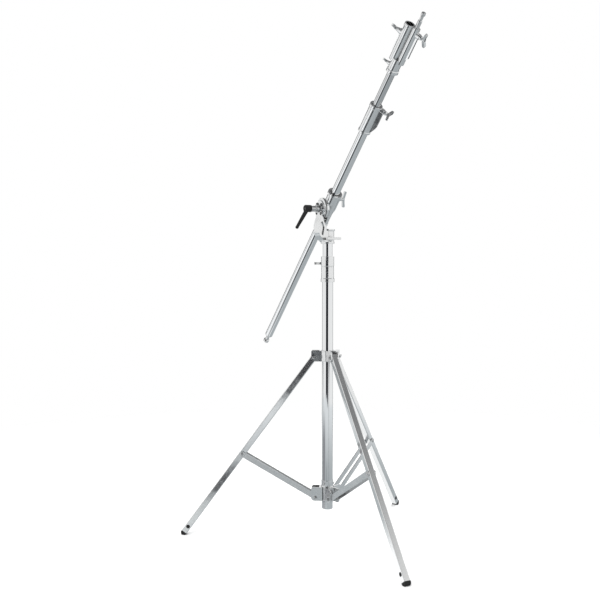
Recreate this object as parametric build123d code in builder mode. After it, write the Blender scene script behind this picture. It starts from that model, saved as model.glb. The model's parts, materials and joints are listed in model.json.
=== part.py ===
from build123d import *
import os
from math import atan2, cos, degrees, hypot, radians, sin

# Combi boom stand. The origin is the centre of the column's lower end face, +Z runs up the column
# and the boom points over the front leg, towards +X. Every length is in millimetres.

# ---- fits ----
RUN = 0.05          # radial clearance of a piece that slides or turns on another
FIT = 0.02          # clearance between pieces that stay together
SIDE_GAP = 0.5      # side clearance between a swinging piece and its fork

# ---- tubes: outside diameter of each telescoping size, all with one wall ----
TUBE_WALL = 1.5
BASE_OD = 45.0
RISER_OD = 40.0
BOOM_OD = 35.0
INNER_OD = 30.0

# ---- column ----
FLOOR_Z = -122.0    # the floor, below the column's lower end
END_PLUG_HEIGHT = 30.0
BASE_TOP_Z = 1000.0
RISER_BOTTOM_Z = 130.0
RISER_TOP_Z = 1134.0
GUIDE_LENGTH = 40.0

# ---- legs ----
LEG_AZIMUTHS = {"front": 0.0, "rear": 120.0, "left": 240.0}
BETWEEN_LEGS = (60.0, 180.0, 300.0)
LEG_ANGLE = 36.4    # from the vertical
LEG_SIZE = 25.0
LEG_CORNER = 3.0
LEG_PIVOT_R = 55.3
LEG_PIVOT_Z = 627.0
LEG_TOP = 13.0      # the leg's end above its pivot
LEG_END = 914.0     # the tube's lower end, below its pivot
FOOT_RADIUS = LEG_SIZE / 2
FOOT_FLAT = 1.0     # how deep the flat on the floor cuts into the round foot
BUTTON_R = 8.0
BUTTON_FROM_TIP = 43.0
BUTTON_PROUD = 0.4
PIN_R = 4.0

# ---- leg collar ----
COLLAR_LOW_Z = 611.0
COLLAR_HIGH_Z = 655.0
COLLAR_R = 29.0
COLLAR_BORE_R = 25.0
FORK_REACH = LEG_PIVOT_R + 10.5
FORK_CHEEK = 5.0
FORK_FLOOR_R = 33.0     # the bottom of every fork's slot
LEG_CHEEK_IN = LEG_SIZE / 2 + SIDE_GAP
LEG_CHEEK_OUT = LEG_CHEEK_IN + FORK_CHEEK
COLLAR_KNOB_Z = 633.0
COLLAR_BOSS_R = 35.0
COLLAR_KNOB_SIZE = 0.8

# ---- braces ----
BRACE_ON_LEG = 501.0    # along the leg, from its pivot
BRACE_PIVOT_R = 48.0
BRACE_PIVOT_Z = 50.0
BRACE_WIDTH = 22.0
BRACE_THICK = 3.0
BRACE_GAP = 0.8         # between the leg's side and the bar
BAR_IN = LEG_SIZE / 2 + BRACE_GAP
BAR_OUT = BAR_IN + BRACE_THICK
BRACE_CHEEK_IN = BAR_OUT + SIDE_GAP
BRACE_CHEEK_OUT = BRACE_CHEEK_IN + FORK_CHEEK
KNEE_SLEEVE_R = 6.0     # the sleeve through the leg that the brace rivet runs in
BRACE_FORK_LOW_Z = 36.0
BRACE_FORK_HIGH_Z = 92.0
BRACE_FORK_REACH = 65.5
BRACE_COLLAR_TOP_Z = 119.0
BRACE_SCREW_Z = 106.0
BRACE_SCREW_R = 2.5

# ---- column clamp collar ----
CLAMP_LOW_Z = 936.0
CLAMP_HIGH_Z = 1040.0
CLAMP_KNOB_Z = 1012.0
CLAMP_KNOB_AZIMUTH = 180.0
CLAMP_BOSS_R = 31.0
COLLAR_KNOB_AZIMUTH = 60.0

# ---- swivel head ----
PIVOT_Z = 1233.0        # the boom's tilt axis
SOCKET_LOW_Z = 1092.0
SOCKET_HIGH_Z = 1151.0
SOCKET_R = 27.5
HEAD_KNOB_Z = 1112.0
HEAD_KNOB_AZIMUTH = 0.0
HEAD_BOSS_R = 30.0
ARM_RECESS = 7.0        # depth of the hollow in each side of the arm
ARM_HALF_WIDTH = 24.0
FRICTION_R = 44.0
FRICTION_THICK = 3.0
SLEEVE_DISC_R = 46.0
ARM_DISC_R = 44.5
ARM_DISC_RIM = 3.0      # the disc's thickness at its rim
ARM_DISC_THICK = 9.0    # and at its raised middle
ARM_BOSS_R = 34.0
ARM_DISC_FLAT = 38.5    # how far from the pivot the disc's upper edge is cut straight
HUB_R = 16.0
HUB_END_Y = -52.0
STUD_R = 6.0
STUD_END_Y = 72.0       # distances of the lever's parts from the boom's axis
LEVER_SEAT = 77.0
LEVER_HEAD_END = 105.0
LEVER_HEAD_R = 14.5
LEVER_SCREW_HEAD = 99.5
LEVER_SCREW_R = 2.5
FRICTION_SCREW_CIRCLE_R = 26.0
FRICTION_SCREW_R = 2.5
FRICTION_SCREW_ANGLES = (40.0, 130.0, 220.0, 310.0)
LEVER_DIRECTION = (-64.0, -20.0, -78.0)
LEVER_LENGTH = 96.0

# ---- boom: places along it are measured from the tilt axis ----
ELEVATION = 43.0
SLEEVE_REAR = -76.0
SLEEVE_FRONT = 90.0
SLEEVE_R = 26.0
SLEEVE_DISC_Y = -26.0
BOOM_REAR = -810.0
BOOM_FRONT = 470.0
STUD_END = -863.0
JOINT_REAR = 403.0
JOINT_FRONT = 526.0
JOINT_KNOB = 514.0
SLEEVE_KNOB = 57.0
SLEEVE_BOSS_R = 31.0
JOINT_BOSS_R = 39.0
INNER_REAR = -335.0
INNER_FRONT = 715.0

# ---- boom tip ----
TIP_REAR = 670.0
TIP_SHOULDER = 720.0
TIP_FRONT = 857.0
TIP_ROLL = 125.0        # the open receiver's direction about the boom, from +Y towards the upper side
RECEIVER_OFFSET = 14.0
OPEN_RECEIVER_R = 17.5
OPEN_BORE_R = 14.3
PIN_RECEIVER_R = 14.0
SPIGOT_R = 8.0
SPIGOT_END = 917.0
JOINT_LUG_ROLL = -45.0
OPEN_BORE_DEPTH = 112.0
SPIGOT_REAR = 785.0
OPEN_KNOB = 816.0
SPIGOT_KNOB = 836.0
TIP_BOSS_R = 38.0
RIB_R = 34.0
ROLL_KNOB = 693.0
ROLL_BOSS_R = 24.0
ROLL_KNOB_SIZE = 0.75

# ---- T-knobs ----
KNOB_SCREW_R = 4.0
KNOB_GAP = 0.5          # between the hub and its boss
KNOB_REACH = 27.0
KNOB_HALF_BAR = 33.0
KNOB_THICK = 10.0

os.makedirs("parts", exist_ok=True)


def save(builder, name):
    """Label a finished piece and write it as its own STEP file."""
    builder.part.label = name
    export_step(builder.part, f"parts/{name}.step")


# ---- frames of reference ----

def radial_plane(azimuth):
    """Plane through the column's axis: x runs outwards at the azimuth and y runs up."""
    a = radians(azimuth)
    return Plane(origin=(0, 0, 0), x_dir=(cos(a), sin(a), 0), z_dir=(sin(a), -cos(a), 0))


def radial_frame(azimuth, radius, height):
    """Frame whose z points outwards from the column at the azimuth, with x level."""
    a = radians(azimuth)
    origin = (radius * cos(a), radius * sin(a), height)
    return Plane(origin=origin, x_dir=(-sin(a), cos(a), 0), z_dir=(cos(a), sin(a), 0))


def tangent_frame(azimuth, radius, height):
    """Frame whose z is level and tangent to the column, for a fork's cross pin."""
    a = radians(azimuth)
    origin = (radius * cos(a), radius * sin(a), height)
    return Plane(origin=origin, x_dir=(0, 0, 1), z_dir=(-sin(a), cos(a), 0))


def boom_frame(along, roll=0.0):
    """Frame on the boom's axis with z along the boom, and x turned by roll from +Y."""
    e, r = radians(ELEVATION), radians(roll)
    along_dir = (cos(e), 0, sin(e))
    origin = (along * along_dir[0], 0, PIVOT_Z + along * along_dir[2])
    x_dir = (-sin(r) * sin(e), cos(r), sin(r) * cos(e))
    return Plane(origin=origin, x_dir=x_dir, z_dir=along_dir)


def boom_radial_frame(along, roll, radius):
    """Frame whose z points out of the boom at the roll angle, with x along the boom."""
    frame = boom_frame(along, roll)
    origin = frame.origin + frame.x_dir * radius
    return Plane(origin=origin, x_dir=frame.z_dir, z_dir=frame.x_dir)


def side_plane(frame):
    """Plane through a frame's z axis: its x is the frame's x and its y is the frame's z."""
    return Plane(origin=frame.origin, x_dir=frame.x_dir, z_dir=frame.y_dir * -1)


# ---- shapes used by several pieces, each added to the part being built ----

def turn(frame, outline, soften=0.0, beyond=0.0, mode=Mode.ADD):
    """Turn an outline of (radius, height) points about the frame's z axis.

    Corners further out than beyond are rounded by soften."""
    with BuildSketch(side_plane(frame)) as profile:
        with BuildLine():
            Polyline(*outline, close=True)
        make_face()
        if soften:
            fillet([v for v in profile.vertices() if v.X > beyond], soften)
    revolve(profile.sketch, axis=Axis(frame.origin, frame.z_dir), mode=mode)


def drill(frame, radius, start, end):
    """Cut a round hole about the frame's z axis between two heights."""
    with Locations(frame.offset(start).location):
        Cylinder(radius, end - start, align=(Align.CENTER, Align.CENTER, Align.MIN), mode=Mode.SUBTRACT)


def rod(frame, radius, start, end):
    """Add a round bar about the frame's z axis between two heights."""
    with Locations(frame.offset(start).location):
        Cylinder(radius, end - start, align=(Align.CENTER, Align.CENTER, Align.MIN))


def ring(frame, inner, outer, start, end):
    """Add a plain ring or tube about the frame's z axis between two heights."""
    with BuildSketch(frame.offset(start)) as profile:
        Circle(outer)
        Circle(inner, mode=Mode.SUBTRACT)
    extrude(profile.sketch, amount=end - start)


def t_knob(boss_frame, screw_length, size=1.0, turned=0.0):
    """Add a T-handled clamp screw.

    The frame's origin is on the face of its boss, z points out and the bar is turned from its x."""
    t = radians(turned)
    bar_dir = boss_frame.x_dir * cos(t) + boss_frame.y_dir * sin(t)
    frame = Plane(origin=boss_frame.origin, x_dir=bar_dir, z_dir=boss_frame.z_dir)
    reach, half_bar = KNOB_REACH * size, KNOB_HALF_BAR * size
    turn(frame, [
        (0, -screw_length), (KNOB_SCREW_R - 1, -screw_length), (KNOB_SCREW_R, 1 - screw_length),
        (KNOB_SCREW_R, KNOB_GAP), (8 * size, KNOB_GAP), (8 * size, 0.2 * reach), (6 * size, 0.45 * reach),
        (6 * size, 0.8 * reach), (0, 0.8 * reach)])
    half = [(0, 0.5 * reach), (0.3 * half_bar, 0.52 * reach), (0.92 * half_bar, 0.66 * reach),
            (half_bar, 0.74 * reach), (0.97 * half_bar, reach), (0.8 * half_bar, reach),
            (0.3 * half_bar, 0.86 * reach), (0, 0.84 * reach)]
    other_half = [(-x, z) for x, z in reversed(half[1:-1])]
    with BuildSketch(side_plane(frame)) as wings:
        with BuildLine():
            Polyline(*half, *other_half, close=True)
        make_face()
        tips = [v for v in wings.vertices() if abs(v.X) > 0.9 * half_bar]
        fillet(tips, 2 * size)
    extrude(wings.sketch, amount=KNOB_THICK * size / 2, both=True)


def bolt(frame, half_grip, pin_r=PIN_R):
    """Add a cross bolt about the frame's z axis: a domed head at one end and a hexagon nut at the other."""
    head = 1.6 * pin_r
    turn(frame, [
        (0, -half_grip), (pin_r, -half_grip), (pin_r, half_grip + FIT), (head, half_grip + FIT),
        (head, half_grip + 1.5), (0.7 * head, half_grip + 3.5), (0, half_grip + 4)])
    with BuildSketch(frame.offset(-half_grip - FIT)) as nut:
        RegularPolygon(head, 6)
    extrude(nut.sketch, amount=-5)
    rod(frame, pin_r, -half_grip - 6, -half_grip)


def fork(azimuth, low, high, reach, half_width, slot_half_width, lower_round, upper_round):
    """Add a two-cheeked fork to a collar: an upright plate block with a slot for the piece it holds."""
    with BuildSketch(radial_plane(azimuth)) as outline:
        with BuildLine():
            Polyline((20, low), (reach, low), (reach, high), (20, high), close=True)
        make_face()
        outer = outline.vertices().sort_by(Axis.X)[-2:].sort_by(Axis.Y)
        fillet(outer[0], lower_round)
        fillet(outline.vertices().sort_by(Axis.X)[-2:].sort_by(Axis.Y)[-1], upper_round)
    extrude(outline.sketch, amount=half_width, both=True)
    with BuildSketch(radial_plane(azimuth)) as slot:
        with BuildLine():
            Polyline((FORK_FLOOR_R, low - 1), (reach + 1, low - 1), (reach + 1, high + 1),
                     (FORK_FLOOR_R, high + 1), close=True)
        make_face()
    extrude(slot.sketch, amount=slot_half_width, both=True, mode=Mode.SUBTRACT)


ORIGIN = Plane.XY

# ============================== column base ==============================

with BuildPart() as end_plug:
    turn(ORIGIN, [
        (0, 0), (BASE_OD / 2, 0), (BASE_OD / 2, END_PLUG_HEIGHT - FIT),
        (BASE_OD / 2 - TUBE_WALL - FIT, END_PLUG_HEIGHT - FIT),
        (BASE_OD / 2 - TUBE_WALL - FIT, 2 * END_PLUG_HEIGHT), (0, 2 * END_PLUG_HEIGHT)])
    fillet(end_plug.edges().filter_by(GeomType.CIRCLE).sort_by(Axis.Z)[0], 4)
save(end_plug, "column_end_plug")

with BuildPart() as base_tube:
    ring(ORIGIN, BASE_OD / 2 - TUBE_WALL, BASE_OD / 2, END_PLUG_HEIGHT, BASE_TOP_Z)
    for azimuth in BETWEEN_LEGS:
        drill(radial_frame(azimuth, 0, BRACE_SCREW_Z), BRACE_SCREW_R + FIT, BASE_OD / 4, BASE_OD)
save(base_tube, "base_tube")

with BuildPart() as brace_collar:
    turn(ORIGIN, [
        (BASE_OD / 2 + FIT, BRACE_FORK_LOW_Z), (26, BRACE_FORK_LOW_Z), (26, BRACE_FORK_HIGH_Z + 2),
        (24.5, BRACE_FORK_HIGH_Z + 4), (24.5, BRACE_COLLAR_TOP_Z), (BASE_OD / 2 + FIT, BRACE_COLLAR_TOP_Z)],
        soften=1, beyond=24)
    for azimuth in LEG_AZIMUTHS.values():
        fork(azimuth, BRACE_FORK_LOW_Z, BRACE_FORK_HIGH_Z, BRACE_FORK_REACH, BRACE_CHEEK_OUT, BRACE_CHEEK_IN,
             14, 9)
        drill(tangent_frame(azimuth, BRACE_PIVOT_R, BRACE_PIVOT_Z), PIN_R + FIT, -30, 30)
    for azimuth in BETWEEN_LEGS:
        drill(radial_frame(azimuth, 0, BRACE_SCREW_Z), BRACE_SCREW_R + FIT, BASE_OD / 4, BASE_OD)
    drill(ORIGIN, BASE_OD / 2 + FIT, 0, BRACE_COLLAR_TOP_Z + 1)
save(brace_collar, "brace_collar")

with BuildPart() as brace_collar_screws:
    for azimuth in BETWEEN_LEGS:
        turn(radial_frame(azimuth, 0, BRACE_SCREW_Z), [
            (0, 21.5), (BRACE_SCREW_R, 21.5), (BRACE_SCREW_R, 24.6), (4.5, 24.6), (4.5, 26), (3, 27.2),
            (0, 27.2)])
save(brace_collar_screws, "brace_collar_screws")

with BuildPart() as brace_pivot_bolts:
    for azimuth in LEG_AZIMUTHS.values():
        bolt(tangent_frame(azimuth, BRACE_PIVOT_R, BRACE_PIVOT_Z), BRACE_CHEEK_OUT)
save(brace_pivot_bolts, "brace_pivot_bolts")

with BuildPart() as brace_spacers:
    for azimuth in LEG_AZIMUTHS.values():
        ring(tangent_frame(azimuth, BRACE_PIVOT_R, BRACE_PIVOT_Z), PIN_R + FIT, 6.5, 0.1 - BAR_IN, BAR_IN - 0.1)
save(brace_spacers, "brace_spacers")

# The clamp collar holds the base tube in its lower half and the bush for the riser in its upper half.
with BuildPart() as base_clamp_collar:
    turn(ORIGIN, [
        (BASE_OD / 2 + FIT, CLAMP_LOW_Z), (28, CLAMP_LOW_Z), (28, CLAMP_LOW_Z + 13), (26, CLAMP_LOW_Z + 15),
        (26, BASE_TOP_Z - 3), (25.2, BASE_TOP_Z - 2), (25.2, BASE_TOP_Z), (26.5, BASE_TOP_Z + 1),
        (26.5, CLAMP_HIGH_Z), (BASE_OD / 2 + FIT, CLAMP_HIGH_Z)], soften=0.6, beyond=25)
    rod(radial_frame(CLAMP_KNOB_AZIMUTH, 0, CLAMP_KNOB_Z), 11, 24, CLAMP_BOSS_R)
    drill(radial_frame(CLAMP_KNOB_AZIMUTH, 0, CLAMP_KNOB_Z), KNOB_SCREW_R + RUN, BASE_OD / 4, 60)
    drill(ORIGIN, BASE_OD / 2 + FIT, CLAMP_LOW_Z - 1, CLAMP_HIGH_Z + 1)
save(base_clamp_collar, "base_clamp_collar")

with BuildPart() as base_clamp_bush:
    ring(ORIGIN, RISER_OD / 2 + RUN, BASE_OD / 2, BASE_TOP_Z + FIT, CLAMP_HIGH_Z - 1)
save(base_clamp_bush, "base_clamp_bush")

with BuildPart() as base_clamp_knob:
    t_knob(radial_frame(CLAMP_KNOB_AZIMUTH, CLAMP_BOSS_R, CLAMP_KNOB_Z), CLAMP_BOSS_R - BASE_OD / 2 - RUN)
save(base_clamp_knob, "base_clamp_knob")

# ============================== leg collar ==============================

with BuildPart() as leg_collar:
    turn(ORIGIN, [
        (COLLAR_BORE_R, COLLAR_LOW_Z), (COLLAR_R, COLLAR_LOW_Z), (COLLAR_R, COLLAR_HIGH_Z),
        (COLLAR_BORE_R, COLLAR_HIGH_Z)], soften=1.5, beyond=COLLAR_R - 1)
    for azimuth in LEG_AZIMUTHS.values():
        fork(azimuth, COLLAR_LOW_Z, COLLAR_HIGH_Z, FORK_REACH, LEG_CHEEK_OUT, LEG_CHEEK_IN, 15, 4)
        drill(tangent_frame(azimuth, LEG_PIVOT_R, LEG_PIVOT_Z), PIN_R + FIT, -30, 30)
    knob_axis = radial_frame(COLLAR_KNOB_AZIMUTH, 0, COLLAR_KNOB_Z)
    rod(knob_axis, 10, COLLAR_BORE_R + 1, COLLAR_BOSS_R)
    drill(knob_axis, KNOB_SCREW_R + RUN, COLLAR_BORE_R - 5, 60)
    drill(ORIGIN, COLLAR_BORE_R, COLLAR_LOW_Z - 1, COLLAR_HIGH_Z + 1)
save(leg_collar, "leg_collar")

with BuildPart() as leg_collar_bush:
    ring(ORIGIN, BASE_OD / 2 + RUN, COLLAR_BORE_R - FIT, COLLAR_LOW_Z + 1, COLLAR_HIGH_Z - 1)
save(leg_collar_bush, "leg_collar_bush")

with BuildPart() as leg_collar_knob:
    t_knob(radial_frame(COLLAR_KNOB_AZIMUTH, COLLAR_BOSS_R, COLLAR_KNOB_Z), COLLAR_BOSS_R - COLLAR_BORE_R - RUN,
           COLLAR_KNOB_SIZE)
save(leg_collar_knob, "leg_collar_knob")

with BuildPart() as leg_pivot_bolts:
    for azimuth in LEG_AZIMUTHS.values():
        bolt(tangent_frame(azimuth, LEG_PIVOT_R, LEG_PIVOT_Z), LEG_CHEEK_OUT)
save(leg_pivot_bolts, "leg_pivot_bolts")

# ============================== legs and braces ==============================

# Places in a leg's own upright plane: x outwards from the column, y up.
LEG_OUT, LEG_DOWN = sin(radians(LEG_ANGLE)), -cos(radians(LEG_ANGLE))


def on_leg(along):
    """Radius and height of a point on a leg's axis, at a distance below its pivot."""
    return LEG_PIVOT_R + along * LEG_OUT, LEG_PIVOT_Z + along * LEG_DOWN


# The round foot's centre sits so that its lowest point would pass through the floor by the flat's depth.
FOOT_CENTRE = (LEG_PIVOT_Z - FLOOR_Z - FOOT_RADIUS + FOOT_FLAT) / -LEG_DOWN
LEG_TIP = FOOT_CENTRE + FOOT_RADIUS
KNEE_R, KNEE_Z = on_leg(BRACE_ON_LEG)
BRACE_LENGTH = hypot(KNEE_R - BRACE_PIVOT_R, KNEE_Z - BRACE_PIVOT_Z)
BRACE_ANGLE = degrees(atan2(KNEE_Z - BRACE_PIVOT_Z, KNEE_R - BRACE_PIVOT_R))


def leg_frame(azimuth, along):
    """Frame on a leg's axis whose z points down the leg and whose x is tangent to the column."""
    a = radians(azimuth)
    radius, height = on_leg(along)
    return Plane(origin=(radius * cos(a), radius * sin(a), height), x_dir=(-sin(a), cos(a), 0),
                 z_dir=(LEG_OUT * cos(a), LEG_OUT * sin(a), LEG_DOWN))


def square(frame, size, corner, length, mode=Mode.ADD):
    """Add a rounded square bar that starts at the frame's origin and runs along its z axis."""
    with BuildSketch(frame) as profile:
        RectangleRounded(size, size, corner)
    extrude(profile.sketch, amount=length, mode=mode)


for name, azimuth in LEG_AZIMUTHS.items():
    button_frame = tangent_frame(azimuth, *on_leg(LEG_TIP - BUTTON_FROM_TIP))
    knee_frame = tangent_frame(azimuth, KNEE_R, KNEE_Z)

    with BuildPart() as leg:
        square(leg_frame(azimuth, -LEG_TOP), LEG_SIZE, LEG_CORNER, LEG_TOP + LEG_END)
        square(leg_frame(azimuth, -LEG_TOP), LEG_SIZE - 2 * TUBE_WALL, LEG_CORNER - TUBE_WALL,
               LEG_TOP + LEG_END, mode=Mode.SUBTRACT)
        drill(tangent_frame(azimuth, LEG_PIVOT_R, LEG_PIVOT_Z), PIN_R + RUN, -LEG_SIZE, LEG_SIZE)
        drill(knee_frame, KNEE_SLEEVE_R + FIT, -LEG_SIZE, LEG_SIZE)
        drill(button_frame, BUTTON_R + FIT, -LEG_SIZE, LEG_SIZE)
    save(leg, f"leg_{name}")

    with BuildPart() as knee_sleeve:
        ring(knee_frame, PIN_R + RUN, KNEE_SLEEVE_R, -LEG_SIZE / 2, LEG_SIZE / 2)
    save(knee_sleeve, f"leg_sleeve_{name}")

    with BuildPart() as foot_plug:
        square(leg_frame(azimuth, LEG_END - 55), LEG_SIZE - 2 * TUBE_WALL - 0.1, LEG_CORNER - TUBE_WALL, 56)
        with BuildSketch(tangent_frame(azimuth, *on_leg(FOOT_CENTRE))) as foot:
            with Locations(Location((0, 0, 0), (0, 0, 180 - LEG_ANGLE))):
                Circle(FOOT_RADIUS)
                with Locations((LEG_END + FIT - FOOT_CENTRE - FOOT_RADIUS, 0)):
                    Rectangle(2 * FOOT_RADIUS, 3 * FOOT_RADIUS, mode=Mode.SUBTRACT)
        extrude(foot.sketch, amount=LEG_SIZE / 2, both=True)
        rod(button_frame, BUTTON_R, -LEG_SIZE / 2 - BUTTON_PROUD, LEG_SIZE / 2 + BUTTON_PROUD)
        split(bisect_by=Plane.XY.offset(FLOOR_Z), keep=Keep.TOP)
    save(foot_plug, f"foot_plug_{name}")

    # The two flat bars run beside the leg and turn on the fork's cross bolt.
    with BuildPart() as brace:
        for side in (-1, 1):
            with BuildSketch(radial_plane(azimuth).offset(side * (BAR_IN + BRACE_THICK / 2))) as bar:
                with Locations(Location((BRACE_PIVOT_R, BRACE_PIVOT_Z, 0), (0, 0, BRACE_ANGLE))):
                    with Locations((BRACE_LENGTH / 2, 0)):
                        SlotCenterToCenter(BRACE_LENGTH, BRACE_WIDTH)
                    Circle(PIN_R + RUN, mode=Mode.SUBTRACT)
                    with Locations((BRACE_LENGTH, 0)):
                        Circle(PIN_R + FIT, mode=Mode.SUBTRACT)
            extrude(bar.sketch, amount=BRACE_THICK / 2, both=True)
    save(brace, f"brace_{name}")

    # The rivet is made as its two headed ends, one in each bar.
    with BuildPart() as brace_rivets:
        for side in (-1, 1):
            turn(Plane(origin=knee_frame.origin, x_dir=knee_frame.x_dir, z_dir=knee_frame.z_dir * side), [
                (0, BAR_IN), (PIN_R, BAR_IN), (PIN_R, BAR_OUT + FIT), (7, BAR_OUT + FIT), (7, BAR_OUT + 1),
                (4.5, BAR_OUT + 3), (0, BAR_OUT + 3.4)])
    save(brace_rivets, f"brace_rivets_{name}")

# ============================== riser ==============================

with BuildPart() as riser_tube:
    ring(ORIGIN, RISER_OD / 2 - TUBE_WALL, RISER_OD / 2, RISER_BOTTOM_Z, RISER_TOP_Z)
save(riser_tube, "riser_tube")

with BuildPart() as riser_guide:
    ring(ORIGIN, RISER_OD / 2 + FIT, BASE_OD / 2 - TUBE_WALL - RUN, RISER_BOTTOM_Z,
         RISER_BOTTOM_Z + GUIDE_LENGTH)
save(riser_guide, "riser_guide")

# ============================== swivel head ==============================

pivot_frame = Plane(origin=(0, 0, PIVOT_Z), x_dir=(1, 0, 0), z_dir=(0, -1, 0))
ARM_FACE_Y = SLEEVE_DISC_Y - FRICTION_THICK
DISC_OUT_Y = ARM_FACE_Y - ARM_DISC_THICK


def friction_screw_frame(angle):
    """Frame on the outer face of the arm's disc whose z points away from the boom."""
    r = FRICTION_SCREW_CIRCLE_R
    origin = (r * cos(radians(angle)), DISC_OUT_Y, PIVOT_Z + r * sin(radians(angle)))
    return Plane(origin=origin, x_dir=(1, 0, 0), z_dir=(0, -1, 0))


with BuildPart() as head_bracket:
    turn(ORIGIN, [
        (10, SOCKET_LOW_Z), (SOCKET_R, SOCKET_LOW_Z), (SOCKET_R, SOCKET_LOW_Z + 7),
        (SOCKET_R - 1, SOCKET_LOW_Z + 8.5), (SOCKET_R - 1, SOCKET_HIGH_Z - 8),
        (SOCKET_R + 2, SOCKET_HIGH_Z - 6), (SOCKET_R + 2, SOCKET_HIGH_Z), (10, SOCKET_HIGH_Z)],
        soften=0.6, beyond=SOCKET_R - 2)
    rod(radial_frame(HEAD_KNOB_AZIMUTH, 0, HEAD_KNOB_Z), 11, 20, HEAD_BOSS_R)
    # The arm leaves the socket's side, bows out and comes back to the clamp disc.
    with BuildSketch(Plane.YZ) as arm:
        with BuildLine():
            Spline((-19, 1098), (-37, 1113), (-49, 1132), (-51.5, 1155), (-49, 1178), (-43.5, 1196),
                   (-42.5, 1225))
            Polyline((-42.5, 1225), (ARM_FACE_Y - 2, 1225), (ARM_FACE_Y - 2, 1196))
            Spline((ARM_FACE_Y - 2, 1196), (-29, 1183), (-22, 1168), (-13, 1147))
            Polyline((-13, 1147), (-8, 1138), (-8, 1098), (-19, 1098))
        make_face()
    extrude(arm.sketch, amount=ARM_HALF_WIDTH, both=True)
    for side in (-1, 1):
        with BuildSketch(Plane.YZ.offset(side * ARM_HALF_WIDTH)) as recess:
            with BuildLine():
                Spline((-33, 1124), (-43, 1138), (-46, 1156), (-43.5, 1178))
                Polyline((-43.5, 1178), (-36, 1182))
                Spline((-36, 1182), (-31, 1170), (-27, 1157))
                Polyline((-27, 1157), (-33, 1124))
            make_face()
        extrude(recess.sketch, amount=ARM_RECESS, both=True, mode=Mode.SUBTRACT)
    turn(pivot_frame, [
        (0, -ARM_FACE_Y), (ARM_DISC_R, -ARM_FACE_Y), (ARM_DISC_R, ARM_DISC_RIM - ARM_FACE_Y),
        (ARM_BOSS_R + 2, ARM_DISC_RIM + 1 - ARM_FACE_Y), (ARM_BOSS_R, -DISC_OUT_Y), (HUB_R + 1, -DISC_OUT_Y),
        (HUB_R, 2 - DISC_OUT_Y), (HUB_R, -HUB_END_Y), (0, -HUB_END_Y)], soften=0.8, beyond=HUB_R - 2)
    # Its upper edge is cut straight, square to the direction of the upper screw.
    with BuildSketch(pivot_frame.offset(-ARM_FACE_Y - 1)) as disc_flat:
        with Locations(Location((0, 0, 0), (0, 0, FRICTION_SCREW_ANGLES[1]))):
            with Locations((ARM_DISC_FLAT + ARM_DISC_R / 2, 0)):
                Rectangle(ARM_DISC_R, 2 * ARM_DISC_R)
    extrude(disc_flat.sketch, amount=ARM_DISC_THICK + 5, mode=Mode.SUBTRACT)
    drill(pivot_frame, STUD_R + RUN, -ARM_FACE_Y - 5, -HUB_END_Y + 5)
    for angle in FRICTION_SCREW_ANGLES:
        drill(friction_screw_frame(angle), FRICTION_SCREW_R + FIT, -20, 20)
        drill(friction_screw_frame(angle), 7, 0, 20)
    drill(ORIGIN, RISER_OD / 2 + RUN, SOCKET_LOW_Z - 5, RISER_TOP_Z + 1)
    drill(ORIGIN, BOOM_OD / 2 + 0.7, RISER_TOP_Z, SOCKET_HIGH_Z + 5)
    drill(radial_frame(HEAD_KNOB_AZIMUTH, 0, HEAD_KNOB_Z), KNOB_SCREW_R + RUN, 10, 60)
save(head_bracket, "head_bracket")

with BuildPart() as head_knob:
    t_knob(radial_frame(HEAD_KNOB_AZIMUTH, HEAD_BOSS_R, HEAD_KNOB_Z), HEAD_BOSS_R - RISER_OD / 2 - 2 * RUN)
save(head_knob, "head_knob")

with BuildPart() as friction_disc:
    ring(pivot_frame, STUD_R + RUN, FRICTION_R, -SLEEVE_DISC_Y + FIT, -ARM_FACE_Y - FIT)
    for angle in FRICTION_SCREW_ANGLES:
        drill(friction_screw_frame(angle), FRICTION_SCREW_R + FIT, 1 - ARM_DISC_THICK - FRICTION_THICK, 5)
save(friction_disc, "friction_disc")

SCREW_TIP = 1.2 - ARM_DISC_THICK - FRICTION_THICK
with BuildPart() as friction_screws:
    for angle in FRICTION_SCREW_ANGLES:
        frame = friction_screw_frame(angle)
        turn(frame, [
            (0, SCREW_TIP), (FRICTION_SCREW_R, SCREW_TIP), (FRICTION_SCREW_R, FIT), (5.5, FIT), (5.5, 4),
            (4.5, 5), (0, 5)])
        with BuildSketch(frame.offset(2.5)) as socket:
            RegularPolygon(2.6, 6)
        extrude(socket.sketch, amount=4, mode=Mode.SUBTRACT)
save(friction_screws, "friction_screws")

with BuildPart() as tilt_stud:
    rod(pivot_frame, STUD_R, BOOM_OD / 2 + 4.5, STUD_END_Y)
save(tilt_stud, "tilt_stud")

with BuildPart() as lever_insert:
    turn(pivot_frame, [
        (0, 0.3 - HUB_END_Y), (14, 0.3 - HUB_END_Y), (14, 4 - HUB_END_Y), (12, 6 - HUB_END_Y),
        (12, LEVER_SEAT - 4), (13, LEVER_SEAT - 3), (13, LEVER_SEAT), (0, LEVER_SEAT)])
    with BuildSketch(pivot_frame.offset(LEVER_SEAT)) as drive:
        RegularPolygon(8.5, 6)
    extrude(drive.sketch, amount=14)
    drill(pivot_frame, STUD_R + RUN, -HUB_END_Y - 1, STUD_END_Y + 2)
    drill(pivot_frame, LEVER_SCREW_R + FIT, STUD_END_Y + 4, LEVER_SEAT + 20)
save(lever_insert, "lever_insert")

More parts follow.
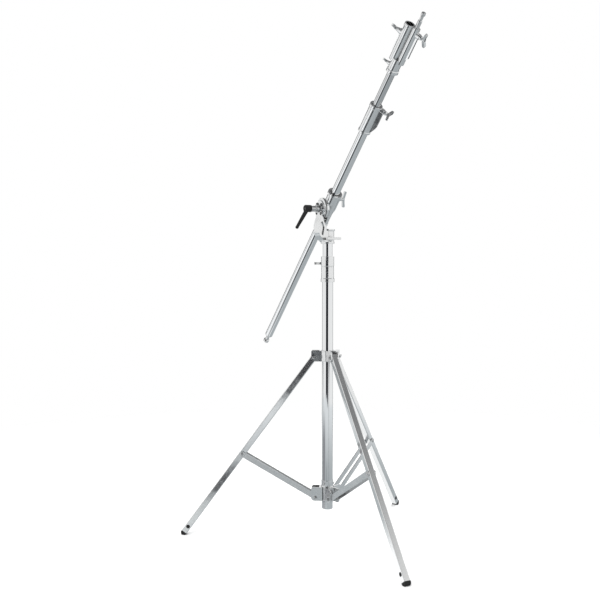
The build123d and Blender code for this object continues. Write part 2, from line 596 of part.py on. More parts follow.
with BuildPart() as tilt_lever:
    turn(pivot_frame, [
        (0, LEVER_SEAT + 0.2), (LEVER_HEAD_R - 0.5, LEVER_SEAT + 0.2), (LEVER_HEAD_R, LEVER_SEAT + 3),
        (LEVER_HEAD_R, LEVER_HEAD_END - 3), (LEVER_HEAD_R - 2, LEVER_HEAD_END), (0, LEVER_HEAD_END)])
    handle_root = pivot_frame.offset((LEVER_SEAT + LEVER_HEAD_END) / 2).origin
    handle_frame = Plane(origin=handle_root, z_dir=LEVER_DIRECTION)
    with Locations(handle_frame.location):
        Cone(9, 6.2, LEVER_LENGTH, align=(Align.CENTER, Align.CENTER, Align.MIN))
    with Locations(handle_frame.offset(LEVER_LENGTH).location):
        Sphere(7)
    with BuildSketch(pivot_frame.offset(LEVER_SEAT - 1)) as drive_hole:
        RegularPolygon(8.6, 6)
    extrude(drive_hole.sketch, amount=16, mode=Mode.SUBTRACT)
    drill(pivot_frame, 2.7, LEVER_SEAT, LEVER_HEAD_END)
    drill(pivot_frame, 6, LEVER_SEAT + 18.5, LEVER_HEAD_END + 5)
save(tilt_lever, "tilt_lever")

with BuildPart() as lever_screw:
    turn(pivot_frame, [
        (0, STUD_END_Y + 5), (LEVER_SCREW_R, STUD_END_Y + 5), (LEVER_SCREW_R, LEVER_SCREW_HEAD),
        (5.5, LEVER_SCREW_HEAD), (5.5, LEVER_SCREW_HEAD + 2), (4, LEVER_SCREW_HEAD + 3),
        (0, LEVER_SCREW_HEAD + 3)])
save(lever_screw, "lever_screw")

# ============================== boom sleeve ==============================

SLEEVE_BORE_R = BOOM_OD / 2 + 4

with BuildPart() as boom_sleeve:
    turn(boom_frame(0), [
        (SLEEVE_BORE_R, SLEEVE_REAR), (SLEEVE_R + 2, SLEEVE_REAR), (SLEEVE_R + 2, SLEEVE_REAR + 6),
        (SLEEVE_R - 0.5, SLEEVE_REAR + 8), (SLEEVE_R - 0.5, SLEEVE_FRONT - 11),
        (SLEEVE_R + 4, SLEEVE_FRONT - 8), (SLEEVE_R + 4, SLEEVE_FRONT), (SLEEVE_BORE_R, SLEEVE_FRONT)],
        soften=0.8, beyond=SLEEVE_R - 2)
    turn(pivot_frame, [
        (0, 12), (SLEEVE_DISC_R - 4, 12), (SLEEVE_DISC_R, 16), (SLEEVE_DISC_R, -SLEEVE_DISC_Y),
        (0, -SLEEVE_DISC_Y)], soften=1, beyond=SLEEVE_DISC_R - 5)
    # The lug for the clamp screw, long and boat-shaped, lies along the sleeve's far side.
    with BuildSketch(side_plane(boom_frame(0))) as lug:
        with BuildLine():
            Polyline((20, -20), (25, -14), (29.5, 6), (29.5, 72), (27, 78), (20, 78), close=True)
        make_face()
        fillet(lug.vertices().sort_by(Axis.X)[-2:], 3)
    extrude(lug.sketch, amount=10, both=True)
    rod(boom_radial_frame(SLEEVE_KNOB, 0, 0), 10, 25, SLEEVE_BOSS_R)
    drill(boom_frame(0), SLEEVE_BORE_R, SLEEVE_REAR - 5, SLEEVE_FRONT + 5)
    drill(boom_radial_frame(SLEEVE_KNOB, 0, 0), KNOB_SCREW_R + RUN, 15, 60)
    drill(pivot_frame, STUD_R + FIT, 15, 40)
save(boom_sleeve, "boom_sleeve")

with BuildPart() as sleeve_bush:
    ring(boom_frame(0), BOOM_OD / 2 + RUN, SLEEVE_BORE_R - FIT, SLEEVE_REAR + 1, SLEEVE_FRONT - 1)
save(sleeve_bush, "sleeve_bush")

with BuildPart() as sleeve_knob:
    t_knob(boom_radial_frame(SLEEVE_KNOB, 0, SLEEVE_BOSS_R), SLEEVE_BOSS_R - SLEEVE_BORE_R - RUN, turned=150)
save(sleeve_knob, "sleeve_knob")

# ============================== boom ==============================

with BuildPart() as boom_outer_tube:
    ring(boom_frame(0), BOOM_OD / 2 - TUBE_WALL, BOOM_OD / 2, BOOM_REAR, BOOM_FRONT)
save(boom_outer_tube, "boom_outer_tube")

with BuildPart() as boom_end_stud:
    plug_r = BOOM_OD / 2 - TUBE_WALL - FIT
    turn(boom_frame(0), [
        (0, STUD_END), (12, STUD_END), (13, STUD_END + 1), (13, STUD_END + 11), (8, STUD_END + 15),
        (8, BOOM_REAR - 7), (BOOM_OD / 2, BOOM_REAR - 5), (BOOM_OD / 2, BOOM_REAR - FIT),
        (plug_r, BOOM_REAR - FIT), (plug_r, BOOM_REAR + 40), (0, BOOM_REAR + 40)])
save(boom_end_stud, "boom_end_stud")

with BuildPart() as boom_joint_collar:
    bore = BOOM_OD / 2 + FIT
    turn(boom_frame(0), [
        (bore, JOINT_REAR), (24.5, JOINT_REAR), (24.5, JOINT_REAR + 8), (22.7, JOINT_REAR + 10),
        (22.7, JOINT_FRONT - 12), (24.5, JOINT_FRONT - 10), (24.5, JOINT_FRONT), (bore, JOINT_FRONT)],
        soften=0.7, beyond=22)
    with BuildSketch(side_plane(boom_frame(0, JOINT_LUG_ROLL))) as lug:
        with BuildLine():
            Polyline((18, JOINT_REAR + 8), (25, JOINT_REAR + 14), (JOINT_BOSS_R - 3, JOINT_REAR + 38),
                     (JOINT_BOSS_R - 3, JOINT_FRONT - 4), (18, JOINT_FRONT - 4), close=True)
        make_face()
        fillet(lug.vertices().sort_by(Axis.X)[-2:], 3)
    extrude(lug.sketch, amount=9, both=True)
    rod(boom_radial_frame(JOINT_KNOB, JOINT_LUG_ROLL, 0), 9.5, 22, JOINT_BOSS_R)
    drill(boom_frame(0), bore, JOINT_REAR - 5, JOINT_FRONT + 5)
    drill(boom_radial_frame(JOINT_KNOB, JOINT_LUG_ROLL, 0), KNOB_SCREW_R + RUN, 12, 60)
save(boom_joint_collar, "boom_joint_collar")

with BuildPart() as boom_joint_bush:
    ring(boom_frame(0), INNER_OD / 2 + RUN, BOOM_OD / 2, BOOM_FRONT + 1, JOINT_FRONT)
save(boom_joint_bush, "boom_joint_bush")

with BuildPart() as boom_joint_knob:
    t_knob(boom_radial_frame(JOINT_KNOB, JOINT_LUG_ROLL, JOINT_BOSS_R), JOINT_BOSS_R - BOOM_OD / 2 - 2 * RUN,
           turned=90)
save(boom_joint_knob, "boom_joint_knob")

with BuildPart() as boom_inner_tube:
    ring(boom_frame(0), INNER_OD / 2 - TUBE_WALL, INNER_OD / 2, INNER_REAR, INNER_FRONT)
save(boom_inner_tube, "boom_inner_tube")

with BuildPart() as boom_inner_guide:
    ring(boom_frame(0), INNER_OD / 2 + FIT, BOOM_OD / 2 - TUBE_WALL - RUN, INNER_REAR,
         INNER_REAR + GUIDE_LENGTH)
save(boom_inner_guide, "boom_inner_guide")

# ============================== boom tip ==============================

# Across the two receivers: x points at the open one.
tip_side = side_plane(boom_frame(0, TIP_ROLL))


def receiver_frame(side, along=0.0):
    """Frame on a receiver's axis: side 1 is the open receiver and side -1 holds the spigot."""
    frame = boom_frame(along, TIP_ROLL)
    origin = frame.origin + frame.x_dir * side * RECEIVER_OFFSET
    return Plane(origin=origin, x_dir=frame.x_dir, z_dir=frame.z_dir)


def knob_frame_on_tip(side, along, radius):
    """Frame on a tip boss: z points out of the boom on the open (1) or the spigot (-1) side."""
    return boom_radial_frame(along, TIP_ROLL if side > 0 else TIP_ROLL - 180, radius)


with BuildPart() as twin_receiver:
    turn(boom_frame(0), [
        (0, TIP_REAR), (23, TIP_REAR), (23, TIP_REAR + 11), (20.5, TIP_REAR + 13), (20.5, TIP_SHOULDER + 6),
        (0, TIP_SHOULDER + 6)], soften=0.8, beyond=20)
    rod(receiver_frame(1), OPEN_RECEIVER_R, TIP_SHOULDER - 6, TIP_FRONT)
    rod(receiver_frame(-1), PIN_RECEIVER_R, TIP_SHOULDER - 6, TIP_FRONT)
    turn(receiver_frame(1), [
        (OPEN_BORE_R, TIP_FRONT - 11), (19, TIP_FRONT - 11), (19, TIP_FRONT), (OPEN_BORE_R, TIP_FRONT)],
        soften=1, beyond=18)
    for side, knob_along in ((1, OPEN_KNOB), (-1, SPIGOT_KNOB)):
        with BuildSketch(tip_side) as rib:
            with BuildLine():
                Polyline((side * 20, TIP_SHOULDER + 12), (side * 29, TIP_SHOULDER + 20),
                         (side * RIB_R, TIP_SHOULDER + 26), (side * RIB_R, knob_along + 6),
                         (side * 20, knob_along + 9), close=True)
            make_face()
        extrude(rib.sketch, amount=5, both=True)
        rod(knob_frame_on_tip(side, knob_along, 0), 10, 20, TIP_BOSS_R)
    rod(knob_frame_on_tip(1, ROLL_KNOB, 0), 8, 14, ROLL_BOSS_R)
    drill(boom_frame(0), INNER_OD / 2 + RUN, TIP_REAR - 5, INNER_FRONT + 1)
    drill(receiver_frame(1), OPEN_BORE_R, TIP_FRONT - OPEN_BORE_DEPTH, TIP_FRONT + 5)
    drill(receiver_frame(-1), SPIGOT_R + RUN, SPIGOT_REAR - 1, TIP_FRONT + 5)
    for side, knob_along in ((1, OPEN_KNOB), (-1, SPIGOT_KNOB)):
        drill(knob_frame_on_tip(side, knob_along, 0), KNOB_SCREW_R + RUN, RECEIVER_OFFSET, 60)
    drill(knob_frame_on_tip(1, ROLL_KNOB, 0), KNOB_SCREW_R + RUN, INNER_OD / 4, 60)
save(twin_receiver, "twin_receiver")

with BuildPart() as roll_knob:
    t_knob(knob_frame_on_tip(1, ROLL_KNOB, ROLL_BOSS_R), ROLL_BOSS_R - INNER_OD / 2 - 2 * RUN, ROLL_KNOB_SIZE,
           turned=120)
save(roll_knob, "roll_knob")

with BuildPart() as open_receiver_knob:
    t_knob(knob_frame_on_tip(1, OPEN_KNOB, TIP_BOSS_R), TIP_BOSS_R - RECEIVER_OFFSET - OPEN_BORE_R - 1,
           turned=120)
save(open_receiver_knob, "open_receiver_knob")

with BuildPart() as spigot_knob:
    t_knob(knob_frame_on_tip(-1, SPIGOT_KNOB, TIP_BOSS_R), TIP_BOSS_R - RECEIVER_OFFSET - SPIGOT_R - 2 * RUN,
           turned=30)
save(spigot_knob, "spigot_knob")

# The spigot: a plain stem in the receiver, a stop flange, then a pin with an undercut neck below its tip.
with BuildPart() as spigot:
    turn(receiver_frame(-1), [
        (0, SPIGOT_REAR), (SPIGOT_R - 1, SPIGOT_REAR), (SPIGOT_R, SPIGOT_REAR + 1), (SPIGOT_R, TIP_FRONT + FIT),
        (10.5, TIP_FRONT + FIT), (10.5, TIP_FRONT + 2.5), (SPIGOT_R, TIP_FRONT + 3),
        (SPIGOT_R, SPIGOT_END - 32), (5.5, SPIGOT_END - 28), (5.5, SPIGOT_END - 14),
        (SPIGOT_R, SPIGOT_END - 10), (SPIGOT_R, SPIGOT_END - 1.5), (SPIGOT_R - 1.5, SPIGOT_END),
        (0, SPIGOT_END)])
save(spigot, "spigot")
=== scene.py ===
"""Combi boom stand: finishes, fine details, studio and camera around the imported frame."""

import json
import math

import bmesh
import bpy
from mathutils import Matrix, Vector


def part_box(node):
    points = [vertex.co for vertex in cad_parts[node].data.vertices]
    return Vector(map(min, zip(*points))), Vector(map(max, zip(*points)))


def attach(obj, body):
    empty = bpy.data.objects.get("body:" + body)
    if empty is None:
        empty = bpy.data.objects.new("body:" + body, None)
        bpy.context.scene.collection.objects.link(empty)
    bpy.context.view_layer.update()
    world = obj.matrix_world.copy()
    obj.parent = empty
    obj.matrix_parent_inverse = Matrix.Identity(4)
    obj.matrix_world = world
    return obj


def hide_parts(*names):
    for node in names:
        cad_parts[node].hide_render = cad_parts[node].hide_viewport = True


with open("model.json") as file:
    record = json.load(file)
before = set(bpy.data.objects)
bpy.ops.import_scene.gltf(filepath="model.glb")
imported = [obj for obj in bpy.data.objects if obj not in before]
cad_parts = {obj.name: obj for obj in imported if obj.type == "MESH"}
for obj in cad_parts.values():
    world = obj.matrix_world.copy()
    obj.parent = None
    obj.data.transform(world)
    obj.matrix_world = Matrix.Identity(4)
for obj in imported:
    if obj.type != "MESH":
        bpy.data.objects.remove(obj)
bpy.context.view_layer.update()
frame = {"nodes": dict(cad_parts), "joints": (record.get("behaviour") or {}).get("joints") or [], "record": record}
nodes = frame["nodes"]
joints = {j["name"]: j for j in frame["joints"]}

BOOM_DIR = Vector(joints["boom_slide"]["axis"]).normalized()
PIVOT = Vector(joints["boom_tilt"]["pos_m"])
FLOOR_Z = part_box("foot_plug_front")[0].z
# The floor lies this far below the feet, so that the two faces never coincide.
FLOOR_GAP = 0.0004
UP = Vector((0, 0, 1))
ACROSS = Vector((0, 1, 0))
ORIGIN = Vector((0, 0, 0))


def tube_radius(node, side):
    """A round tube's outer radius in metres, from how far its box reaches along x (0) or y (1)."""
    return round(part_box(node)[1][side], 6)


COLUMN_R = tube_radius("base_tube", 0)
RISER_R = tube_radius("riser_tube", 0)
BOOM_R = tube_radius("boom_outer_tube", 1)
BOOM_INNER_R = tube_radius("boom_inner_tube", 1)
TUBE_WALL = 0.0015
# What lies deeper than this below a tube's outer wall counts as its inside.
WITHIN_WALL = 0.0009


# ---------------------------------------------------------------- node graphs


class Graph:
    """The node tree of a material or a world, with short calls for the nodes used here."""

    def __init__(self, owner, output="ShaderNodeOutputMaterial"):
        owner.use_nodes = True
        self.owner = owner
        self.tree = owner.node_tree
        self.tree.nodes.clear()
        self.output = self.tree.nodes.new(output)

    def node(self, kind, inputs=(), **settings):
        made = self.tree.nodes.new(kind)
        for key, value in settings.items():
            setattr(made, key, value)
        for key, value in dict(inputs).items():
            self.set(made.inputs[key], value)
        return made

    def set(self, socket, value):
        if isinstance(value, bpy.types.NodeSocket):
            self.tree.links.new(value, socket)
        else:
            socket.default_value = value

    def math(self, operation, *values):
        made = self.node("ShaderNodeMath", operation=operation)
        for socket, value in zip(made.inputs, values):
            self.set(socket, value)
        return made.outputs[0]

    def times(self, first, *others):
        """The product of masks."""
        for other in others:
            first = self.math("MULTIPLY", first, other)
        return first

    def vector(self, operation, *values):
        made = self.node("ShaderNodeVectorMath", operation=operation)
        for socket, value in zip(made.inputs, values):
            self.set(socket, value)
        return made.outputs["Value" if operation in ("DOT_PRODUCT", "LENGTH") else "Vector"]

    def ramp(self, value, low, high, to_low=0.0, to_high=1.0):
        """A smooth step from to_low, where value is at low, to to_high, where it is at high."""
        made = self.node("ShaderNodeMapRange", interpolation_type="SMOOTHSTEP")
        names = ("Value", "From Min", "From Max", "To Min", "To Max")
        for name, given in zip(names, (value, low, high, to_low, to_high)):
            self.set(made.inputs[name], given)
        return made.outputs["Result"]

    def window(self, value, low, high, soft):
        """1 between low and high, fading to 0 over soft on each side of either."""
        rise = self.ramp(value, low - soft, low + soft)
        fall = self.ramp(value, high + soft, high - soft)
        return self.times(rise, fall)

    def mix(self, factor, a, b, kind="RGBA"):
        """a where factor is 0 and b where it is 1, for colours or, with kind VECTOR, for vectors."""
        made = self.node("ShaderNodeMix", data_type=kind)
        first, second, result = {"RGBA": (6, 7, 2), "VECTOR": (4, 5, 1)}[kind]
        self.set(made.inputs[0], factor)
        self.set(made.inputs[first], a)
        self.set(made.inputs[second], b)
        return made.outputs[result]

    def place(self, scale, turn=(0, 0, 0)):
        """Object coordinates, which are the row frame in metres and stay on the piece in every pose."""
        coordinates = self.node("ShaderNodeTexCoord").outputs["Object"]
        mapped = self.node("ShaderNodeMapping", {"Vector": coordinates, "Scale": scale, "Rotation": turn})
        return mapped.outputs["Vector"]

    def noise(self, where, detail, roughness=0.5):
        return self.node("ShaderNodeTexNoise", {
            "Vector": where, "Scale": 1.0, "Detail": detail, "Roughness": roughness}).outputs["Fac"]

    def cells(self, where):
        """Distance to the nearest of scattered points, one to each unit cube."""
        return self.node("ShaderNodeTexVoronoi", {"Vector": where, "Scale": 1.0}).outputs["Distance"]

    def bump(self, height, strength, distance, normal=None):
        made = self.node("ShaderNodeBump", {"Height": height, "Strength": strength, "Distance": distance})
        if normal is not None:
            self.set(made.inputs["Normal"], normal)
        return made.outputs["Normal"]

    def blend(self, factor, a, b):
        """A mix of two shaders: a where factor is 0, b where it is 1."""
        return self.node("ShaderNodeMixShader", {0: factor, 1: a, 2: b}).outputs[0]

    def finish(self, shader):
        self.tree.links.new(shader, self.output.inputs["Surface"])
        return self.owner

    def surface(self, inputs):
        return self.finish(self.node("ShaderNodeBsdfPrincipled", inputs).outputs[0])


def new_material(name):
    return Graph(bpy.data.materials.new(name))


def grey(value):
    return (value, value, value, 1)


def rounded_normal(graph, radius):
    """The normal that the surface would have if its edges were rounded to this radius in metres."""
    return graph.node("ShaderNodeBevel", {"Radius": radius}, samples=4).outputs["Normal"]


def edge_wear(graph, radius):
    """1 along sharp edges and 0 on flat ground, from how far a rounded normal is off the true one."""
    soft = rounded_normal(graph, radius)
    true = graph.node("ShaderNodeNewGeometry").outputs["Normal"]
    return graph.ramp(graph.vector("DOT_PRODUCT", soft, true), 0.995, 0.9)


def turned_to(axis):
    """The turn that lays a pattern's z along an axis."""
    return UP.rotation_difference(axis).inverted().to_euler()


def tube_normal(graph, origin, axis, inner_radius):
    """The exact normal of a round tube's outer wall, in world space; elsewhere the mesh's own normal."""
    here = graph.node("ShaderNodeTexCoord").outputs["Object"]
    offset = graph.vector("SUBTRACT", here, tuple(origin))
    along = graph.vector("DOT_PRODUCT", offset, tuple(axis))
    on_axis = graph.vector("SCALE", tuple(axis))
    graph.set(on_axis.node.inputs["Scale"], along)
    radial = graph.vector("SUBTRACT", offset, on_axis)
    outside = graph.ramp(graph.vector("LENGTH", radial), inner_radius, inner_radius + 0.0004)
    turned = graph.node("ShaderNodeVectorTransform", {"Vector": radial}, vector_type="NORMAL",
                        convert_from="OBJECT", convert_to="WORLD").outputs["Vector"]
    unit = graph.vector("NORMALIZE", turned)
    true = graph.node("ShaderNodeNewGeometry").outputs["Normal"]
    # End faces keep their own normal: there it is square to the radial direction.
    side_on = graph.ramp(graph.vector("DOT_PRODUCT", unit, true), 0.5, 0.8)
    return graph.mix(graph.times(outside, side_on), true, unit, kind="VECTOR")


# ---------------------------------------------------------------- finishes


def chrome_tube(name, origin, axis, outer_radius, tone=0.80, roughness=0.02):
    """Bright plated tube: fine drawn lines along it, faint smears and a few hairline scratches."""
    g = new_material(name)
    normal = tube_normal(g, origin, axis, outer_radius - WITHIN_WALL)
    turn = turned_to(axis)
    lines = g.noise(g.place((900, 900, 5), turn), 2.0)
    smears = g.noise(g.place((9, 9, 4), turn), 4.0, 0.6)
    scratch = g.ramp(g.noise(g.place((60, 60, 420), turn), 2.0, 0.7), 0.70, 0.76)
    normal = g.bump(lines, 0.02, 0.0002, normal)
    rough = g.ramp(smears, 0.35, 0.75, roughness, roughness + 0.04)
    rough = g.math("ADD", rough, g.times(scratch, 0.10))
    colour = g.mix(smears, grey(tone * 0.97), (tone, tone * 1.005, tone * 1.015, 1))
    return g.surface({"Base Color": colour, "Metallic": 1.0, "Roughness": rough, "Normal": normal})


def chrome_flat(name, tone=0.80, roughness=0.05):
    """Plated square tube and flat bar: slightly uneven faces, worn brighter at the corners."""
    g = new_material(name)
    waves = g.noise(g.place((14, 14, 14)), 2.0)
    grain = g.noise(g.place((700, 700, 700)), 2.0)
    smears = g.noise(g.place((22, 22, 22)), 5.0, 0.65)
    normal = g.bump(waves, 0.05, 0.002)
    normal = g.bump(grain, 0.02, 0.0001, normal)
    rough = g.ramp(smears, 0.35, 0.75, roughness, roughness + 0.06)
    wear = edge_wear(g, 0.0008)
    colour = g.mix(smears, grey(tone * 0.94), grey(tone))
    colour = g.mix(g.times(wear, 0.5), colour, grey(0.92))
    return g.surface({"Base Color": colour, "Metallic": 0.94, "Roughness": rough, "Normal": normal})


def cast_metal(name, tone=0.80, roughness=0.11, skin=0.05):
    """Plated casting: a soft orange-peel skin, crevices darkened with painted shade and bright worn edges."""
    g = new_material(name)
    skin_noise = g.noise(g.place((260, 260, 260)), 3.0, 0.55)
    swell = g.noise(g.place((70, 70, 70)), 2.0)
    pits = g.cells(g.place((420, 420, 420)))
    soft = rounded_normal(g, 0.0009)
    normal = g.bump(swell, 0.03, 0.0006, soft)
    normal = g.bump(skin_noise, skin, 0.00010, normal)
    normal = g.bump(g.ramp(pits, 0.0, 0.35), 0.03, 0.00005, normal)
    smears = g.noise(g.place((35, 35, 35)), 5.0, 0.65)
    rough = g.ramp(smears, 0.3, 0.75, roughness, roughness + 0.14)
    # Painted shade: the colour is darkened in crevices that ambient occlusion finds.
    crevice_shade = g.node("ShaderNodeAmbientOcclusion", {"Distance": 0.012}, samples=6).outputs["AO"]
    wear = edge_wear(g, 0.0010)
    colour = g.mix(smears, grey(tone * 0.93), grey(tone))
    colour = g.mix(g.ramp(crevice_shade, 0.75, 0.25), colour, grey(tone * 0.42))
    colour = g.mix(g.times(wear, 0.6), colour, grey(0.93))
    return g.surface({"Base Color": colour, "Metallic": 1.0, "Roughness": rough, "Normal": normal})


def turned_steel(name, axis, tone=0.58, roughness=0.24):
    """Turned or rolled fastener: fine rings about its axis and a dull plating."""
    g = new_material(name)
    turn = turned_to(axis)
    rings = g.noise(g.place((40, 40, 2600), turn), 2.0)
    smears = g.noise(g.place((120, 120, 120)), 4.0, 0.6)
    normal = g.bump(rings, 0.10, 0.00008)
    rough = g.ramp(smears, 0.3, 0.75, roughness, roughness + 0.16)
    wear = edge_wear(g, 0.0005)
    colour = g.mix(smears, grey(tone * 0.88), grey(tone))
    colour = g.mix(g.times(wear, 0.5), colour, grey(0.85))
    return g.surface({"Base Color": colour, "Metallic": 1.0, "Roughness": rough, "Normal": normal,
                      "Anisotropic": 0.4})


def moulded_plastic(name, tone=0.010, roughness=0.48, grain=0.30):
    """Black moulding: spark-eroded grain, polished where hands and floors rub it."""
    g = new_material(name)
    cells = g.cells(g.place((1500, 1500, 1500)))
    fine = g.noise(g.place((2600, 2600, 2600)), 2.0)
    soft = rounded_normal(g, 0.0007)
    normal = g.bump(cells, grain, 0.00010, soft)
    normal = g.bump(fine, grain * 0.5, 0.00004, normal)
    smears = g.noise(g.place((45, 45, 45)), 5.0, 0.7)
    rough = g.ramp(smears, 0.3, 0.75, roughness, roughness + 0.22)
    wear = edge_wear(g, 0.0008)
    colour = g.mix(smears, (tone, tone, tone * 1.06, 1), grey(tone * 1.8))
    colour = g.mix(g.times(wear, 0.35), colour, grey(0.05))
    return g.surface({"Base Color": colour, "Roughness": rough, "Normal": normal,
                      "Specular IOR Level": 0.22})


def friction_lining(name):
    """Pressed fibre lining: dark, dry, flecked with brass-coloured swarf."""
    g = new_material(name)
    fibre = g.noise(g.place((240, 1400, 240)), 4.0, 0.7)
    flecks = g.cells(g.place((900, 900, 900)))
    colour = g.mix(fibre, grey(0.012), grey(0.045))
    colour = g.mix(g.ramp(flecks, 0.12, 0.05), colour, (0.20, 0.15, 0.09, 1))
    return g.surface({"Base Color": colour, "Roughness": 0.8, "Normal": g.bump(fibre, 0.4, 0.0001)})


finishes = {
    "base_tube": chrome_tube("chrome_base_tube", ORIGIN, UP, COLUMN_R),
    "riser_tube": chrome_tube("chrome_riser_tube", ORIGIN, UP, RISER_R),
    "boom_outer_tube": chrome_tube("chrome_boom_tube", PIVOT, BOOM_DIR, BOOM_R),
    "boom_inner_tube": chrome_tube(
        "chrome_boom_inner_tube", PIVOT, BOOM_DIR, BOOM_INNER_R, tone=0.62, roughness=0.08),
}
slot_finish = {
    "leg_chrome": chrome_flat("chrome_leg"),
    "brace_chrome": chrome_flat("chrome_brace", tone=0.76, roughness=0.12),
    "cast_alloy": cast_metal("cast_alloy"),
    "knob_alloy": cast_metal("knob_alloy", tone=0.76, roughness=0.09, skin=0.06),
    "spigot_steel": turned_steel("turned_steel_boom", BOOM_DIR, tone=0.70, roughness=0.14),
    "bright_steel": turned_steel("turned_steel", ACROSS),
    "black_steel": turned_steel("black_steel", ACROSS, tone=0.14, roughness=0.26),
    "black_plastic": moulded_plastic("black_plastic"),
    "bush_plastic": moulded_plastic("bush_plastic", tone=0.045, roughness=0.34, grain=0.10),
    "friction_lining": friction_lining("friction_lining"),
}


def round_edges(node, width):
    """Breaks a piece's sharp edges: its mesh is welded, its edges rounded and its shading evened out."""
    weld = node.modifiers.new("weld", "WELD")
    weld.merge_threshold = 0.00002
    bevel = node.modifiers.new("edges", "BEVEL")
    bevel.width = width
    bevel.segments = 3
    bevel.limit_method = "ANGLE"
    bevel.angle_limit = math.radians(32)
    bevel.miter_outer = "MITER_ARC"
    even = node.modifiers.new("even", "WEIGHTED_NORMAL")
    even.keep_sharp = False


edge_width = {"cast_alloy": 0.0008, "knob_alloy": 0.0016, "black_plastic": 0.0008}
for part in frame["record"]["subparts"]:
    node = nodes[part["node"]]
    if part["material_slot"] in edge_width:
        round_edges(node, edge_width[part["material_slot"]])
    material = finishes.get(part["node"]) or slot_finish.get(part["material_slot"])
    if material is not None:
        node.data.materials.clear()
        node.data.materials.append(material)


# ---------------------------------------------------------------- pieces made here


def lathe(name, outline, segments=96):
    """A closed mesh turned about the row frame's z axis, from an outline of (radius, height) in metres."""
    bm = bmesh.new()
    rings = []
    for radius, height in outline:
        if radius == 0:
            rings.append([bm.verts.new((0, 0, height))])
            continue
        angles = [2 * math.pi * i / segments for i in range(segments)]
        rings.append([bm.verts.new((radius * math.cos(a), radius * math.sin(a), height)) for a in angles])
    for low, high in zip(rings, rings[1:]):
        for i in range(segments):
            j = (i + 1) % segments
            corners = [low[i % len(low)], low[j % len(low)], high[j % len(high)], high[i % len(high)]]
            bm.faces.new(dict.fromkeys(corners))
    bmesh.ops.recalc_face_normals(bm, faces=bm.faces)
    mesh = bpy.data.meshes.new(name)
    bm.to_mesh(mesh)
    bm.free()
    mesh.shade_smooth()
    made = bpy.data.objects.new(name, mesh)
    bpy.context.scene.collection.objects.link(made)
    return made


def rounded_corner(radius, height, size, steps=6):
    """Points round a cap's lower outer corner, from its underside to its wall."""
    turns = [math.pi / 2 * i / steps for i in range(steps + 1)]
    return [(radius - size + size * math.sin(t), height + size - size * math.cos(t)) for t in turns]


def column_end_cap():
    """The column's bright lower end: a dished face, a rolled rim, and a fine groove below the tube."""
    fit = 0.0001
    plug_r = COLUMN_R - TUBE_WALL - fit
    top = round(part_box("base_tube")[0].z, 6) - fit / 5
    plug_top = round(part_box("column_end_plug")[1].z, 6)
    groove, groove_low, groove_high = 0.0005, top - 0.0022, top - 0.0005
    dish = [(0, 0.0015), (0.006, 0.0014), (0.012, 0.0009), (0.0165, 0)]
    rim = rounded_corner(COLUMN_R, 0, 0.004)
    wall = [(COLUMN_R, groove_low), (COLUMN_R - groove, groove_low + groove),
            (COLUMN_R - groove, groove_high - groove), (COLUMN_R, groove_high), (COLUMN_R, top)]
    plug = [(plug_r, top), (plug_r, plug_top), (0, plug_top)]
    cap = lathe("column_end_cap", dish + rim + wall + plug)
    finish = chrome_tube("chrome_end_cap", ORIGIN, UP, COLUMN_R, tone=0.84, roughness=0.09)
    cap.data.materials.append(finish)
    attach(cap, "base")
    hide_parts("column_end_plug")


column_end_cap()

# ---------------------------------------------------------------- studio

# The camera looks this way in plan; the studio's dark gap is behind it.
VIEW_PLAN = Vector((-0.900, 0.435, 0)).normalized()

WALL_WHITE = (0.99, 1.0, 1.0, 1)
CEILING_GREY = (0.20, 0.205, 0.21, 1)
GAP_BLACK = (0.012, 0.014, 0.020, 1)
FLAG_GREY = (0.06, 0.065, 0.07, 1)
FLOOR_FAR = (0.86, 0.90, 0.92, 1)
FLOOR_NEAR = (0.47, 0.51, 0.53, 1)


def studio_above(g, around, level):
    """The studio above its floor: white walls, a grey ceiling and a dark gap behind the camera."""
    ceiling = g.ramp(level, 42, 52)
    # Towards the front leg the wall darkens from lower down.
    lower = g.times(g.window(around, 34, 62, 6), g.ramp(level, 36, 51))
    colour = g.mix(g.math("MAXIMUM", ceiling, lower), WALL_WHITE, CEILING_GREY)
    gap = g.times(g.window(around, -60, -14, 1.5), g.ramp(level, 40.8, 39.2))
    return g.mix(gap, colour, GAP_BLACK)


def studio_ground(g, way, around, level):
    """The studio's floor as bright metal sees it: grey, with lighter and darker areas laid over it."""
    ground = g.mix(g.ramp(level, -9, -14.5), FLOOR_FAR, FLOOR_NEAR)
    along = g.vector("DOT_PRODUCT", way, tuple(BOOM_DIR))
    across = g.vector("DOT_PRODUCT", way, tuple(BOOM_DIR.cross(VIEW_PLAN).normalized()))
    boom_stripe = g.times(g.ramp(across, 0.35, 0.62), g.ramp(level, -16, -19))
    side_band = g.times(g.window(around, -140, -76, 6), g.window(level, -17, -10.5, 1.5))
    boom_streak = g.times(
        g.window(across, -0.02, 0.36, 0.05), g.ramp(level, -30, -36), g.ramp(along, -0.82, -0.78))
    # The left leg sees a dark strip and white below it. A reflector low at one side lights the rear leg.
    left_strip = g.times(g.window(around, -42, -37, 1), g.window(level, -15.0, -13.1, 0.4))
    left_white = g.times(g.window(around, -46, -38, 1), g.ramp(level, -15.0, -15.6))
    reflector = g.times(g.window(around, -165, -112, 6), g.ramp(level, -34, -42))
    areas = (
        (boom_stripe, (1.35, 1.37, 1.38, 1)),
        (side_band, (0.30, 0.31, 0.33, 1)),
        (boom_streak, (0.07, 0.075, 0.08, 1)),
        (left_strip, (0.05, 0.052, 0.06, 1)),
        (left_white, (0.74, 0.78, 0.79, 1)),
        (reflector, (1.1, 1.12, 1.13, 1)),
    )
    for area, paint in areas:
        ground = g.mix(area, ground, paint)
    return ground


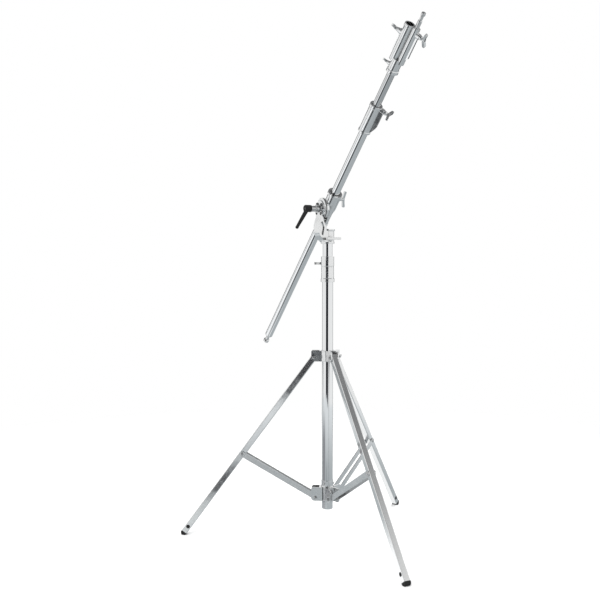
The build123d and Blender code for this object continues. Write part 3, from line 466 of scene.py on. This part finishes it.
def studio_world():
    """The studio that bright metal reflects. The camera itself sees plain white.

    Angles are in degrees: azimuth from +X towards +Y, and elevation up from level.
    """
    world = bpy.data.worlds.new("studio")
    bpy.context.scene.world = world
    g = Graph(world, "ShaderNodeOutputWorld")
    way = g.node("ShaderNodeTexCoord").outputs["Generated"]
    split = g.node("ShaderNodeSeparateXYZ", {"Vector": way}).outputs
    level = g.math("MULTIPLY", g.math("ARCSINE", split["Z"]), 180 / math.pi)
    around = g.math("MULTIPLY", g.math("ARCTAN2", split["Y"], split["X"]), 180 / math.pi)

    # The floor starts a little lower where the column sees it than where the left leg does.
    floor_level = g.math("ADD", level, g.ramp(around, -34, -28, -0.2, 0.3))
    floor = g.ramp(floor_level, -8.7, -9.3)
    colour = g.mix(floor, studio_above(g, around, level), studio_ground(g, way, around, level))
    # Dark flags just outside the white backdrop draw a thin outline on every round tube.
    backdrop = math.degrees(math.atan2(VIEW_PLAN.y, VIEW_PLAN.x))
    aside = g.math("ABSOLUTE", g.math("WRAP", g.math("SUBTRACT", around, backdrop), 180.0, -180.0))
    colour = g.mix(g.times(g.window(aside, 16, 42, 3), g.window(level, -13, 30, 3)), colour, FLAG_GREY)

    def light(paint, strength=1.0):
        return g.node("ShaderNodeBackground", {"Color": paint, "Strength": strength}).outputs[0]

    path = g.node("ShaderNodeLightPath").outputs
    lit = g.blend(path["Is Glossy Ray"], light(grey(1.0), 0.80), light(colour))
    g.finish(g.blend(path["Is Camera Ray"], lit, light(grey(1.0))))


studio_world()


def studio_floor():
    """A pale floor that fades into white beyond the stand. The metal sees the studio's floor instead."""
    floor_radius, fade_from, fade_to = 6.0, 1.2, 3.4
    mesh = bpy.data.meshes.new("floor")
    floor = bpy.data.objects.new("floor", mesh)
    bpy.context.scene.collection.objects.link(floor)
    bm = bmesh.new()
    bmesh.ops.create_circle(bm, cap_ends=True, segments=96, radius=floor_radius)
    bm.to_mesh(mesh)
    bm.free()
    floor.location = (0, 0, FLOOR_Z - FLOOR_GAP)
    g = new_material("floor")
    here = g.node("ShaderNodeTexCoord").outputs["Object"]
    away = g.vector("LENGTH", here)
    mottle = g.noise(g.place((3, 3, 3)), 3.0)
    paint = g.node("ShaderNodeBsdfDiffuse", {
        "Color": g.mix(mottle, grey(0.915), grey(0.935)), "Roughness": 0.5}).outputs[0]
    clear = g.node("ShaderNodeBsdfTransparent").outputs[0]
    mesh.materials.append(g.finish(g.blend(g.ramp(away, fade_from, fade_to), paint, clear)))
    floor.visible_glossy = False


studio_floor()


def soft_light(name, place, aim, size, watts):
    data = bpy.data.lights.new(name, "AREA")
    data.shape = "RECTANGLE"
    data.size, data.size_y = size
    data.energy = watts
    light = bpy.data.objects.new(name, data)
    bpy.context.scene.collection.objects.link(light)
    light.location = place
    light.rotation_mode = "QUATERNION"
    light.rotation_quaternion = (Vector(aim) - Vector(place)).to_track_quat("-Z", "Y")
    light.visible_glossy = False


soft_light("key", place=(2.2, -3.0, 3.4), aim=(0, 0, 0.8), size=(2.4, 2.0), watts=90)
soft_light("top", place=(-0.6, 0.6, 3.6), aim=(0, 0, 0.6), size=(3.0, 3.0), watts=80)

# ---------------------------------------------------------------- camera

CAMERA_PLACE = (3.138, -1.642, 1.008)
CAMERA_DOWN = math.radians(2.36)
SENSOR_MM = 36.0
LENS_MM = 51.9

camera_data = bpy.data.cameras.new("camera")
camera_data.sensor_width = SENSOR_MM
camera_data.lens = LENS_MM
camera = bpy.data.objects.new("camera", camera_data)
bpy.context.scene.collection.objects.link(camera)
camera.location = CAMERA_PLACE
camera.rotation_mode = "QUATERNION"
aim = VIEW_PLAN * math.cos(CAMERA_DOWN) - UP * math.sin(CAMERA_DOWN)
camera.rotation_quaternion = aim.to_track_quat("-Z", "Y")
bpy.context.scene.camera = camera
bpy.context.scene.view_settings.view_transform = "Standard"
